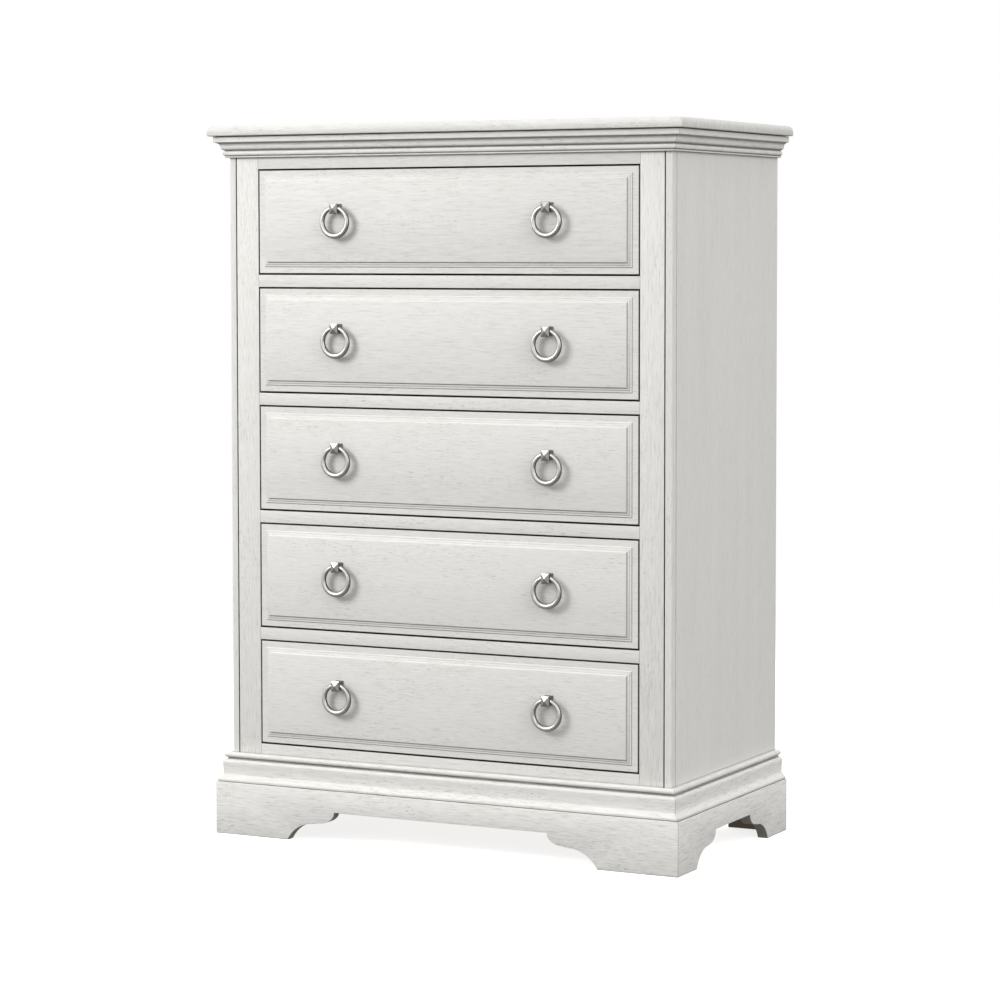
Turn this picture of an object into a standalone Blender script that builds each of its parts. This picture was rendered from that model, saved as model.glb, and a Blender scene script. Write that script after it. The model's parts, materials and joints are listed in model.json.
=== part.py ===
"""A tall chest of five drawers on a bracket base, with ring pulls.

The frame is +Z up, with the front facing -Y and the origin on the floor under the middle of the
overall box. Every wooden board, moulding, frame and pull is its own object.
"""

import math

import bmesh
import bpy
from mathutils import Vector

# Carcass
CARCASS_WIDTH = 0.900
CARCASS_DEPTH = 0.483
SIDE_THICKNESS = 0.0142
STILE_WIDTH = 0.0475
STILE_THICKNESS = 0.020
STRIP_DEPTH = 0.019
STRIP_GROOVE = 0.0012
CORNER_RADIUS = 0.0025
BACK_THICKNESS = 0.007
REBATE = 0.006
EDGE_EASE = 0.0010
FIT = 0.0003

# Heights above the floor
BASE_TOP = 0.098
MOULDING_TOP = 0.1522
CORNICE_BOTTOM = 1.2647
SLAB_UNDERSIDE = 1.3043
SLAB_TOP = 1.3235

# Top slab
SLAB_OVERHANG = 0.0306
SLAB_NOSE_RISE = 0.012
SLAB_NOSE_RUN = 0.012

# Drawers, counted from the top
DRAWER_COUNT = 5
DRAWER_PITCH = 0.219
FIRST_RAIL_TOP = 0.1722
DRAWER_GAP = 0.0022
FRONT_HEIGHT = 0.1916
TOP_DRAWER_TRIM = 0.0013
FRONT_THICKNESS = 0.020
FIELD_RISE = 0.0055
BOX_BOARD = 0.012
BOX_DEPTH = 0.405
BOX_TOP_DROP = 0.022
BOTTOM_THICKNESS = 0.006
BOTTOM_LIFT = 0.010
GROOVE_DEPTH = 0.005
BACK_BOARD_DROP = 0.004

# Web frames that carry the drawers
RAIL_DEPTH = 0.060
RUNNER_WIDTH = 0.095
REAR_RAIL_DEPTH = 0.050
GUIDE_HEIGHT = 0.016
STOP_SIZE = (0.050, 0.014, 0.006)
STOP_PLACE = 0.180
TOP_FRAME_THICKNESS = 0.019

# Bracket base
BOARD_OVERHANG = 0.024
BOARD_THICKNESS = 0.020
BOARD_CHAMFER = 0.0015
FRONT_FOOT = 0.156
SIDE_FOOT = 0.083
REAR_FOOT = 0.093
FRONT_SCROLL = 0.100
SIDE_SCROLL = 0.086
ARCH_HEIGHT = 0.058
SHELF_HEIGHT = 0.034
LEDGER_THICKNESS = 0.018
LEDGER_WIDTH = 0.055
REAR_BRACKET_WIDTH = 0.110
REAR_BRACKET_DEPTH = 0.018
BASE_INSET = 0.004
LAP = 0.004

# Ring pulls
PULL_SPACING = 0.430
PULL_LIFT = 0.023
PIVOT_STANDOFF = 0.013
HEAD_HALF = 0.0083
HEAD_TALLER = 1.15
RING_RADIUS = 0.0258
RING_DROP = 0.02433
RING_TUBE = 0.0050
RING_END_TUBE = 0.0036
RING_END = 0.0086
PIN_RADIUS = 0.0020
PIN_HOLE_RADIUS = 0.00235
DRILL_LENGTH = 0.040
RING_STEPS = 22
RING_SIDES = 8

OVERALL_DEPTH = CARCASS_DEPTH + SLAB_OVERHANG
FRONT = SLAB_OVERHANG - OVERALL_DEPTH / 2
BACK = OVERALL_DEPTH / 2
HALF = CARCASS_WIDTH / 2
INNER = HALF - SIDE_THICKNESS
OPENING_HALF = INNER - STILE_WIDTH
FRONT_HALF = OPENING_HALF - 0.0020
RAIL_HEIGHT = DRAWER_PITCH - FRONT_HEIGHT - 2 * DRAWER_GAP
FIELD = FRONT - FIELD_RISE


def material(name, colour, roughness, metallic=0.0):
    made = bpy.data.materials.new(name)
    made.use_nodes = True
    shader = made.node_tree.nodes["Principled BSDF"]
    shader.inputs["Base Color"].default_value = (*colour, 1.0)
    shader.inputs["Roughness"].default_value = roughness
    shader.inputs["Metallic"].default_value = metallic
    return made


def body(name, location):
    """An empty that carries the pieces of one rigid body."""
    empty = bpy.data.objects.new(name, None)
    empty.location = location
    bpy.context.scene.collection.objects.link(empty)
    return empty


def piece(name, bm, made_of, parent, origin=(0.0, 0.0, 0.0), sharp=None):
    """One solid, drawn in world places, with its own origin under its body's empty."""
    bmesh.ops.remove_doubles(bm, verts=bm.verts, dist=1e-6)
    bmesh.ops.recalc_face_normals(bm, faces=bm.faces)
    if bm.calc_volume(signed=True) < 0.0:
        bmesh.ops.reverse_faces(bm, faces=bm.faces)
    bmesh.ops.translate(bm, verts=bm.verts, vec=-Vector(origin))
    mesh = bpy.data.meshes.new(name)
    bm.to_mesh(mesh)
    bm.free()
    mesh.materials.append(made_of)
    if sharp is not None:
        mesh.shade_smooth()
        mesh.set_sharp_from_angle(angle=math.radians(sharp))
    made = bpy.data.objects.new(name, mesh)
    bpy.context.scene.collection.objects.link(made)
    made.parent = parent
    made.location = Vector(origin) - parent.location
    return made


def helper(name, bm, parent):
    """A hidden solid that only joins or cuts another."""
    made = piece(name, bm, bpy.data.materials["hidden"], parent)
    made.hide_render = True
    made.display_type = "WIRE"
    return made


def combine(target, tool, operation):
    modifier = target.modifiers.new(tool.name, "BOOLEAN")
    modifier.operation = operation
    modifier.object = tool


def box(low, high):
    bm = bmesh.new()
    bmesh.ops.create_cube(bm, size=1.0)
    size = Vector(high) - Vector(low)
    middle = (Vector(high) + Vector(low)) / 2
    bmesh.ops.scale(bm, verts=bm.verts, vec=size)
    bmesh.ops.translate(bm, verts=bm.verts, vec=middle)
    return bm


def eased_box(low, high, ease=EDGE_EASE):
    """A board with its edges broken."""
    bm = box(low, high)
    bmesh.ops.bevel(
        bm, geom=bm.edges, offset=ease, affect="EDGES", segments=1, profile=0.5, material=-1
    )
    return bm


def prism(outline, along):
    """A flat outline pushed along one direction."""
    bm = bmesh.new()
    face = bm.faces.new([bm.verts.new(point) for point in outline])
    pushed = bmesh.ops.extrude_face_region(bm, geom=[face])["geom"]
    moved = [item for item in pushed if isinstance(item, bmesh.types.BMVert)]
    bmesh.ops.translate(bm, verts=moved, vec=along)
    return bm


def sweep(sections, closed=False):
    """A solid through a row of sections that hold the same number of points."""
    bm = bmesh.new()
    loops = [[bm.verts.new(point) for point in section] for section in sections]
    for before, after in zip(loops, loops[1:] + loops[:1]):
        if after is loops[0] and not closed:
            continue
        count = len(before)
        for i in range(count):
            j = (i + 1) % count
            bm.faces.new((before[i], before[j], after[j], after[i]))
    if not closed:
        bm.faces.new(loops[0])
        bm.faces.new(loops[-1])
    return bm


def chamfer_top(bm, height, faces_out):
    """Break the top edges of a board that look outwards."""
    chosen = []
    for edge in bm.edges:
        level = all(abs(vert.co.z - height) < 1e-6 for vert in edge.verts)
        if level and faces_out((edge.verts[0].co + edge.verts[1].co) / 2):
            chosen.append(edge)
    bmesh.ops.bevel(
        bm,
        geom=chosen,
        offset=BOARD_CHAMFER,
        affect="EDGES",
        segments=1,
        profile=0.5,
        material=-1,
    )


def arc(centre, radii, start, end, steps):
    """Points of an elliptical arc in a plane, angles in degrees."""
    points = []
    for i in range(steps + 1):
        angle = math.radians(start + (end - start) * i / steps)
        across = centre[0] + radii[0] * math.cos(angle)
        up = centre[1] + radii[1] * math.sin(angle)
        points.append((across, up))
    return points


def wrapped_moulding(profile):
    """A profile of (overhang, height) run round the left side, the front and the right side."""
    sections = (
        [(-HALF - out, BACK, z) for out, z in profile],
        [(-HALF - out, FRONT - out, z) for out, z in profile],
        [(HALF + out, FRONT - out, z) for out, z in profile],
        [(HALF + out, BACK, z) for out, z in profile],
    )
    return sweep(sections)


def drawer_bottom_height(number):
    """Height of the lower edge of a drawer's front; drawer 1 is the top one."""
    return FIRST_RAIL_TOP + DRAWER_GAP + (DRAWER_COUNT - number) * DRAWER_PITCH


def front_height(number):
    return FRONT_HEIGHT - (TOP_DRAWER_TRIM if number == 1 else 0.0)


def add_top_panel(wood, parent):
    """The slab, with a thumbnail edge on the front and the sides."""
    thickness = SLAB_TOP - SLAB_UNDERSIDE
    nose = arc((0.0, 0.0), (SLAB_NOSE_RUN, SLAB_NOSE_RISE), 0.0, 90.0, 4)
    levels = [(SLAB_OVERHANG - 0.0022, 0.0), (SLAB_OVERHANG, 0.0025)]
    for run, rise in nose:
        inset = SLAB_OVERHANG - SLAB_NOSE_RUN + run
        levels.append((inset, thickness - SLAB_NOSE_RISE + rise))
    sections = []
    for out, rise in levels:
        z = SLAB_UNDERSIDE + rise
        left, right, front = -HALF - out, HALF + out, FRONT - out
        sections.append([(left, BACK, z), (left, front, z), (right, front, z), (right, BACK, z)])
    piece("top_panel", sweep(sections), wood, parent)


def add_cornice(wood, parent):
    """Fillet, ogee, bead and a lower fillet, from the slab down."""
    top = SLAB_UNDERSIDE - FIT
    profile = [(FIT, top), (0.0223, top), (0.0223, top - 0.011), (0.0195, top - 0.011)]
    profile += arc((0.0195, top - 0.019), (0.007, 0.008), 90.0, 180.0, 4)[1:]
    profile += arc((0.006, top - 0.019), (0.0065, 0.007), 0.0, -90.0, 4)[1:]
    profile += arc((0.0055, top - 0.031), (0.0038, 0.005), 80.0, -80.0, 5)
    profile += [(0.0060, CORNICE_BOTTOM + 0.003), (0.0060, CORNICE_BOTTOM), (FIT, CORNICE_BOTTOM)]
    piece("cornice_moulding", wrapped_moulding(profile), wood, parent)


def add_base_moulding(wood, parent):
    """A half-round bead over a rounded shoulder, a tall face and a flare to the base."""
    profile = [(FIT, MOULDING_TOP), (0.0065, MOULDING_TOP)]
    profile += arc((0.0065, MOULDING_TOP - 0.005), (0.0055, 0.005), 80.0, -80.0, 5)
    profile += [(0.0070, MOULDING_TOP - 0.0105), (0.0070, MOULDING_TOP - 0.0127)]
    profile += arc((0.0085, MOULDING_TOP - 0.0205), (0.0064, 0.0078), 90.0, 15.0, 4)
    profile += [(0.0136, MOULDING_TOP - 0.0400), (0.0144, MOULDING_TOP - 0.0419)]
    profile += [(0.0158, MOULDING_TOP - 0.0441), (0.0176, MOULDING_TOP - 0.0462)]
    profile += [(0.0200, MOULDING_TOP - 0.0484), (0.0215, MOULDING_TOP - 0.0503)]
    bottom = BASE_TOP + FIT
    profile += [(0.0215, bottom), (FIT, bottom)]
    piece("base_moulding", wrapped_moulding(profile), wood, parent)


def scroll(length):
    """The bracket foot's curve: distance from the foot's inner corner, and height."""
    radius = 0.0631
    run = 0.056
    lower = arc((0.0, SHELF_HEIGHT - radius), (radius, radius), 27.46, 90.0, 6)
    curve = [((run - across) / FRONT_SCROLL, max(up, 0.0)) for across, up in lower]
    upper = arc((0.068, ARCH_HEIGHT), (0.032, ARCH_HEIGHT - 0.036), -90.0, 0.0, 5)
    curve += [(across / FRONT_SCROLL, up) for across, up in upper]
    return [(share * length, up) for share, up in curve]


def add_bracket_base(wood, parent):
    """Front and side boards with scrolled feet, rear feet, and the ledger inside them."""
    outer = HALF + BOARD_OVERHANG
    face = FRONT - BOARD_OVERHANG
    left = [(-outer, 0.0), (-outer + FRONT_FOOT, 0.0)]
    left += [(-outer + FRONT_FOOT + along, up) for along, up in scroll(FRONT_SCROLL)[1:]]
    right = [(-x, z) for x, z in reversed(left)]
    top = BASE_TOP
    outline = left + right + [(outer, top), (-outer, top)]
    board = prism([(x, face, z) for x, z in outline], (0.0, BOARD_THICKNESS, 0.0))
    chamfer_top(board, top, lambda at: at.y < face + 1e-6 or abs(at.x) > outer - 1e-6)
    base = piece("bracket_base", board, wood, parent)

    near = [(face + BASE_INSET, 0.0), (face + SIDE_FOOT, 0.0)]
    near += [(face + SIDE_FOOT + along, up) for along, up in scroll(SIDE_SCROLL)[1:]]
    far = [(BACK - REAR_FOOT - along, up) for along, up in reversed(scroll(SIDE_SCROLL)[1:])]
    far += [(BACK - REAR_FOOT, 0.0), (BACK, 0.0)]
    side = near + far + [(BACK, top), (face + BASE_INSET, top)]
    for name, start, push in (("left", -outer, 1.0), ("right", outer, -1.0)):
        points = [(start, y, z) for y, z in side]
        board = prism(points, (push * BOARD_THICKNESS, 0.0, 0.0))
        chamfer_top(board, top, lambda at: abs(at.x) > outer - 1e-6)
        combine(base, helper("base_side_" + name, board, parent), "UNION")

    behind = BACK - BASE_INSET
    ahead = behind - REAR_BRACKET_DEPTH
    for name, push in (("left", -1.0), ("right", 1.0)):
        ends = sorted((push * (outer - 2 * LAP), push * (outer - REAR_BRACKET_WIDTH)))
        bracket = box((ends[0], ahead, 0.0), (ends[1], behind, top - LAP))
        combine(base, helper("rear_bracket_" + name, bracket, parent), "UNION")

    reach = outer - BOARD_THICKNESS / 2
    low, high = top - LEDGER_THICKNESS, top - 0.0006
    strips = (
        ("front", (-reach, face + BOARD_THICKNESS / 2), (reach, face + LEDGER_WIDTH)),
        ("back", (-reach, BACK - LEDGER_WIDTH), (reach, BACK - 0.002)),
        ("left", (-reach, face + LEDGER_WIDTH / 2), (-reach + LEDGER_WIDTH, BACK - 0.003)),
        ("right", (reach - LEDGER_WIDTH, face + LEDGER_WIDTH / 2), (reach, BACK - 0.003)),
    )
    for name, start, end in strips:
        strip = box((*start, low), (*end, high))
        combine(base, helper("ledger_" + name, strip, parent), "UNION")


def add_side_panels(wood, parent):
    """Boards with a rounded front corner, a fine groove behind it and a rebate for the back."""
    corner = (HALF - CORNER_RADIUS, FRONT + CORNER_RADIUS)
    groove = FRONT + STRIP_DEPTH
    inside = HALF - SIDE_THICKNESS
    outline = [(inside, FRONT + EDGE_EASE), (inside + EDGE_EASE, FRONT)]
    outline += arc(corner, (CORNER_RADIUS, CORNER_RADIUS), -90.0, 0.0, 4)
    outline += [
        (HALF, groove),
        (HALF - STRIP_GROOVE, groove + STRIP_GROOVE / 2),
        (HALF, groove + STRIP_GROOVE),
        (HALF, BACK - EDGE_EASE),
        (HALF - EDGE_EASE, BACK),
        (inside + REBATE, BACK),
        (inside + REBATE, BACK - BACK_THICKNESS - 2 * FIT),
        (inside, BACK - BACK_THICKNESS - 2 * FIT),
    ]
    bottom, top = BASE_TOP + FIT, SLAB_UNDERSIDE - FIT
    for name, side in (("left", -1.0), ("right", 1.0)):
        points = [(side * x, y, bottom) for x, y in outline]
        piece("side_panel_" + name, prism(points, (0.0, 0.0, top - bottom)), wood, parent)


def add_stiles(wood, parent):
    for name, side in (("left", -1.0), ("right", 1.0)):
        ends = sorted((side * (INNER - FIT), side * OPENING_HALF))
        low = (ends[0], FRONT, BASE_TOP + FIT)
        high = (ends[1], FRONT + STILE_THICKNESS, SLAB_UNDERSIDE - FIT)
        piece("stile_" + name, eased_box(low, high), wood, parent)


def add_web_frame(name, rail_low, rail_high, frame_low, frame_high, wood, parent, guided):
    """A rail between the stiles, with runners, a rear rail, guides and drawer stops behind it."""
    rear = BACK - BACK_THICKNESS - 2 * FIT
    behind = FRONT + STILE_THICKNESS + FIT
    reach = INNER - FIT
    rail = eased_box(
        (-OPENING_HALF + FIT, FRONT, rail_low),
        (OPENING_HALF - FIT, FRONT + RAIL_DEPTH / 2, rail_high),
    )
    frame = piece(name, rail, wood, parent)
    flat = (
        ("front", (-reach, behind), (reach, FRONT + RAIL_DEPTH)),
        ("left", (-reach, behind + 0.001), (-reach + RUNNER_WIDTH, rear)),
        ("right", (reach - RUNNER_WIDTH, behind + 0.001), (reach, rear)),
        ("rear", (-reach, rear - REAR_RAIL_DEPTH), (reach, rear)),
    )
    for part, start, end in flat:
        strip = box((*start, frame_low), (*end, frame_high))
        combine(frame, helper(f"{name}_{part}", strip, parent), "UNION")
    if not guided:
        return
    for part, side in (("left", -1.0), ("right", 1.0)):
        ends = sorted((side * (OPENING_HALF + FIT), side * (reach - 0.001)))
        low = (ends[0], behind + 0.002, frame_high - LAP)
        high = (ends[1], rear - 0.002, frame_high + GUIDE_HEIGHT)
        combine(frame, helper(f"{name}_guide_{part}", box(low, high), parent), "UNION")
        middle = side * STOP_PLACE
        near = FRONT + FRONT_THICKNESS + 2 * FIT
        low = (middle - STOP_SIZE[0] / 2, near, frame_high - LAP)
        high = (middle + STOP_SIZE[0] / 2, near + STOP_SIZE[1], frame_high + STOP_SIZE[2])
        combine(frame, helper(f"{name}_stop_{part}", box(low, high), parent), "UNION")


def add_web_frames(wood, parent):
    low = FIRST_RAIL_TOP - RAIL_HEIGHT
    add_web_frame(
        "bottom_web_frame", low, FIRST_RAIL_TOP, low, FIRST_RAIL_TOP, wood, parent, True
    )
    for number in range(1, DRAWER_COUNT):
        high = drawer_bottom_height(number) - DRAWER_GAP
        low = high - RAIL_HEIGHT
        add_web_frame(f"web_frame_{number}", low, high, low, high, wood, parent, True)
    low = drawer_bottom_height(1) + front_height(1) + DRAWER_GAP
    high = SLAB_UNDERSIDE - FIT
    add_web_frame(
        "top_frame", low, high, low, low + TOP_FRAME_THICKNESS, wood, parent, False
    )


def add_back_panel(board, parent):
    reach = INNER + REBATE - FIT
    low = (-reach, BACK - BACK_THICKNESS, BASE_TOP + FIT)
    high = (reach, BACK - FIT, SLAB_UNDERSIDE - FIT)
    piece("back_panel", box(low, high), board, parent)


def add_drawer_front(number, wood, parent, origin):
    """A flat border, a stepped moulding with mitred corners, and a raised field."""
    low = drawer_bottom_height(number)
    high = low + front_height(number)
    steps = [
        (0.0, -FRONT_THICKNESS),
        (0.0, -0.0010),
        (0.0010, 0.0),
        (0.0111, 0.0),
        (0.0125, 0.0013),
        (0.0153, 0.0017),
        (0.0162, 0.0025),
        (0.0191, 0.0031),
        (0.0206, 0.0047),
        (0.0224, FIELD_RISE),
    ]
    sections = []
    for inset, rise in steps:
        y = FRONT - rise
        x = FRONT_HALF - inset
        bottom, top = low + inset, high - inset
        sections.append([(-x, y, bottom), (x, y, bottom), (x, y, top), (-x, y, top)])
    front = piece(f"drawer_{number}_front", sweep(sections), wood, parent, origin)
    groove_low = drawer_side_bottom(number) + BOTTOM_LIFT - FIT
    reach = FRONT_HALF - BOX_BOARD + GROOVE_DEPTH
    back = FRONT + FRONT_THICKNESS
    cutter = box(
        (-reach, back - GROOVE_DEPTH, groove_low),
        (reach, back + 0.010, groove_low + BOTTOM_THICKNESS + 2 * FIT),
    )
    combine(front, helper(f"drawer_{number}_groove", cutter, parent), "DIFFERENCE")


def drawer_side_bottom(number):
    return drawer_bottom_height(number) - DRAWER_GAP + 2 * FIT


def add_drawer_box(number, wood, board, parent, origin):
    """Grooved sides, a back that stands on the bottom panel, and the bottom panel."""
    low = drawer_side_bottom(number)
    high = drawer_bottom_height(number) + front_height(number) - BOX_TOP_DROP
    near = FRONT + FRONT_THICKNESS + FIT
    far = near + BOX_DEPTH
    slot_low = low + BOTTOM_LIFT - FIT
    slot_high = slot_low + BOTTOM_THICKNESS + 2 * FIT
    outside = FRONT_HALF
    inside = outside - BOX_BOARD
    slot = inside + GROOVE_DEPTH
    ease = EDGE_EASE
    outline = [(outside, low), (outside, high - ease), (outside - ease, high)]
    outline += [(inside + ease, high), (inside, high - ease), (inside, slot_high)]
    outline += [(slot, slot_high), (slot, slot_low), (inside, slot_low), (inside, low)]
    for name, side in (("left", -1.0), ("right", 1.0)):
        points = [(side * x, near, z) for x, z in outline]
        board_side = prism(points, (0.0, far - near, 0.0))
        piece(f"drawer_{number}_side_{name}", board_side, wood, parent, origin)
    reach = inside - FIT
    back = box((-reach, far - BOX_BOARD, slot_high), (reach, far, high - BACK_BOARD_DROP))
    piece(f"drawer_{number}_back", back, wood, parent, origin)
    reach = slot - FIT
    start = FRONT + FRONT_THICKNESS - GROOVE_DEPTH + FIT
    bottom = box((-reach, start, slot_low + FIT), (reach, far - 0.001, slot_high - FIT))
    piece(f"drawer_{number}_bottom", bottom, board, parent, origin)


def square_section(half, waist, y, centre):
    """A section across the post, a little taller than wide and drawn in along each side."""
    cx, cz = centre
    points = []
    for i in range(4):
        angle = math.radians(45.0 + 90.0 * i)
        for reach in (half * math.sqrt(2.0), waist):
            across = reach * math.cos(angle)
            up = reach * math.sin(angle) * HEAD_TALLER
            points.append((cx + across, y, cz + up))
            angle += math.radians(45.0)
    return points


def add_pull(number, name, side, metal, parent):
    """A square-headed post and the ring that swings on a pin through it."""
    low = drawer_bottom_height(number)
    cx = side * PULL_SPACING / 2
    cz = low + FRONT_HEIGHT / 2 + PULL_LIFT
    pivot_y = FIELD - PIVOT_STANDOFF
    pivot = Vector((cx, pivot_y, cz))
    face = FIELD - FIT
    levels = (
        (0.0072, 0.0070, 0.0),
        (0.0072, 0.0068, 0.0022),
        (0.0055, 0.0052, 0.0045),
        (0.0052, 0.0050, 0.0085),
        (0.0060, 0.0056, 0.0160),
        (HEAD_HALF, 0.0066, 0.0180),
        (HEAD_HALF, 0.0064, 0.0196),
        (0.0030, 0.0022, 0.0218),
    )
    sections = [square_section(h, w, face - rise, (cx, cz)) for h, w, rise in levels]
    post_name = f"pull_{number}_{name}_post"
    post = piece(post_name, sweep(sections), metal, parent, pivot)
    drill = bmesh.new()
    bmesh.ops.create_cone(
        drill,
        cap_ends=True,
        segments=16,
        radius1=PIN_HOLE_RADIUS,
        radius2=PIN_HOLE_RADIUS,
        depth=DRILL_LENGTH,
    )
    for vert in drill.verts:
        across, along = vert.co.x, vert.co.z
        vert.co = (cx + along, pivot_y + across, cz + vert.co.y)
    combine(post, helper(f"{post_name}_hole", drill, parent), "DIFFERENCE")

    swing = body(f"pull_{number}_{name}_pivot", pivot)
    piece(f"pull_{number}_{name}_ring", ring(pivot), metal, swing, pivot, sharp=50.0)


def ring(pivot):
    """A tube round most of a circle, closed by the straight pin through the post."""
    centre = pivot + Vector((0.0, 0.0, -RING_DROP))
    start = math.degrees(math.asin(RING_END / RING_RADIUS))
    path = []
    for i in range(RING_STEPS + 1):
        share = i / RING_STEPS
        angle = math.radians(90.0 - start - (360.0 - 2 * start) * share)
        radial = Vector((math.cos(angle), 0.0, math.sin(angle)))
        thick = RING_END_TUBE + (RING_TUBE - RING_END_TUBE) * math.sin(math.pi * share)
        point = centre + radial * RING_RADIUS
        path.append((point, radial, thick))
    ends = []
    for side in (1.0, -1.0):
        point = Vector((pivot.x + side * RING_END, pivot.y, pivot.z))
        ends.append((point, Vector((0.0, 0.0, 1.0)), RING_END_TUBE))
        ends.append((point, Vector((0.0, 0.0, 1.0)), PIN_RADIUS))
    rows = [ends[1], ends[0]] + path[1:-1] + [ends[2], ends[3]]
    sections = []
    for point, radial, thick in rows:
        section = []
        for k in range(RING_SIDES):
            turn = 2 * math.pi * k / RING_SIDES
            off = radial * math.cos(turn) + Vector((0.0, math.sin(turn), 0.0))
            section.append(point + off * thick)
        sections.append(section)
    last = sections[-1]
    flipped = [last[(RING_SIDES // 2 - k) % RING_SIDES] for k in range(RING_SIDES)]
    before = sections[-2]
    sections[-2] = [before[(RING_SIDES // 2 - k) % RING_SIDES] for k in range(RING_SIDES)]
    sections[-1] = flipped
    for row in (-2, -1):
        middle = rows[row][0]
        sections[row] = [Vector((p.x, p.y, p.z)) for p in sections[row]]
        sections[row] = [Vector((middle.x, p.y, p.z)) for p in sections[row]]
    return sweep(sections, closed=True)


def clear_scene():
    for thing in list(bpy.data.objects):
        bpy.data.objects.remove(thing, do_unlink=True)


def main():
    clear_scene()
    material("hidden", (0.5, 0.5, 0.5), 0.5)
    whitewash = material("whitewashed_wood", (0.72, 0.70, 0.66), 0.55)
    bare = material("drawer_wood", (0.62, 0.50, 0.36), 0.60)
    board = material("back_board", (0.55, 0.43, 0.30), 0.70)
    pewter = material("pewter", (0.42, 0.41, 0.39), 0.32, 1.0)

    carcass = body("carcass_body", (0.0, 0.0, 0.0))
    add_top_panel(whitewash, carcass)
    add_cornice(whitewash, carcass)
    add_base_moulding(whitewash, carcass)
    add_bracket_base(whitewash, carcass)
    add_side_panels(whitewash, carcass)
    add_stiles(whitewash, carcass)
    add_web_frames(whitewash, carcass)
    add_back_panel(board, carcass)

    for number in range(1, DRAWER_COUNT + 1):
        middle = drawer_bottom_height(number) + FRONT_HEIGHT / 2
        origin = Vector((0.0, FRONT, middle))
        drawer = body(f"drawer_{number}_body", origin)
        add_drawer_front(number, whitewash, drawer, origin)
        add_drawer_box(number, bare, board, drawer, origin)
        for name, side in (("left", -1.0), ("right", 1.0)):
            add_pull(number, name, side, pewter, drawer)


main()
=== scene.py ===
"""A tall whitewashed chest of five drawers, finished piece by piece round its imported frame."""

import json
import math

import bmesh
import bpy
from mathutils import Matrix, Vector


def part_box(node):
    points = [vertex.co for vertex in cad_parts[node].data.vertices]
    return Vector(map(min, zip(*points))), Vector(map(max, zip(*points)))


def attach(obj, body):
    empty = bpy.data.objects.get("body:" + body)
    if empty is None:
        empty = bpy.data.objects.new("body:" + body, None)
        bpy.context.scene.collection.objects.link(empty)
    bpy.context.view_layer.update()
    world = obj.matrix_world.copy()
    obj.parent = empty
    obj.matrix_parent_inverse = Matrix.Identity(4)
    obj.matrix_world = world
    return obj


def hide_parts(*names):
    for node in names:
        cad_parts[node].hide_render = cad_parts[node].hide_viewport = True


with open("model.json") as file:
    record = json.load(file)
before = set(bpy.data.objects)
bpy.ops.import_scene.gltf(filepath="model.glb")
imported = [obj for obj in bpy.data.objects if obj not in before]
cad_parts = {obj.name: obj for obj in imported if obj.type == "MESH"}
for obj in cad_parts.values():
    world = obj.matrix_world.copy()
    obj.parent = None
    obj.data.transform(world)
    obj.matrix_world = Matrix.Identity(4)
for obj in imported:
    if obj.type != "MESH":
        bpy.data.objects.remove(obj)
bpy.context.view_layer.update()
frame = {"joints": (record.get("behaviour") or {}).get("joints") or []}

# Joinery, in metres
HAIRLINE = 0.00012
EASE = 0.0012
FINE_EASE = 0.0006
DRAWERS = 5
STRIP_DEPTH = 0.019
RAIL_DEPTH = 0.060
RUNNER_WIDTH = 0.095
REAR_RAIL_DEPTH = 0.050
GUIDE_HEIGHT = 0.016
STOP_LENGTH = 0.050
STOP_DEPTH = 0.014
STOP_HEIGHT = 0.006
STOP_PLACE = 0.180
STILE_GAP = 0.0011
MITRE_GAP = 0.00030
STRIP_GAP = 0.0008
FRONT_TRIM = 0.0006
FRONT_SETBACK = 0.0010
# Share of painted shade on a drawer front's sides and back
FRONT_END_SHADE = 0.5
RAIL_TRIM = 0.0003
FRONT_CLEARANCE = 0.0203
STOP_CLEARANCE = 0.0206
TOP_RAIL_DEPTH = 0.020
GUIDE_GAP = 0.0004
GUIDE_INSET = 0.001
GUIDE_END = 0.002
STRIP_ROUND = 0.0026
STRIP_EASE = 0.0009
PANEL_EASE = 0.0008
STILE_EASE = 0.0008
RAIL_EASE = 0.0006
PLY_EASE = 0.0003
PANEL_END = 0.0076
TOP_FRAME_THICKNESS = 0.019
BOX_BOARD = 0.012
GROOVE_DEPTH = 0.005
BOTTOM_LIFT = 0.010
BOTTOM_THICKNESS = 0.006
REBATE = 0.006
INSIDE_EDGE = 0.0003

# Mouldings and base boards are cut from lengths a little too long
SPARE_LENGTH = 0.060
SPARE_END = 0.03

# Slab edge
NOSE = 0.012
NOSE_SEGMENTS = 10
SLAB_UNDER_EASE = 0.0022
SLAB_TURN = 0.35
# Shares of painted shade on the slab's ends and front
SLAB_END_SHADE = 0.20
SLAB_FRONT_SHADE = 0.10

# Bracket base
BOARD_THICKNESS = 0.020
BOARD_CHAMFER = 0.0015
FRONT_FOOT = 0.156
SIDE_FOOT = 0.083
REAR_FOOT = 0.093
FRONT_SCROLL = 0.100
SIDE_SCROLL = 0.086
ARCH_HEIGHT = 0.058
SHELF_HEIGHT = 0.034
LEDGER_THICKNESS = 0.018
LEDGER_WIDTH = 0.055
REAR_BRACKET_WIDTH = 0.110
REAR_BRACKET_FACE = 0.022
REAR_INSET = 0.004
LEDGER_GAP = 0.0006
SCROLL_EASE = 0.0007
# Share of painted shade on the base boards' scroll edges and inner faces
SCROLL_SHADE = 0.8
# Share of the inside of the base left unshaded; the rest is painted shade
BASE_INSIDE_UNSHADED = 0.25

# Ring pulls
RING_RADIUS = 0.0258
RING_DROP = 0.02433
RING_TUBE = 0.0050
RING_END_TUBE = 0.0036
RING_END = 0.0086
PIN_RADIUS = 0.0020
RING_STEPS = 72
# Share of the painted highlight on the post heads
HEAD_HIGHLIGHT = 0.72

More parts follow.
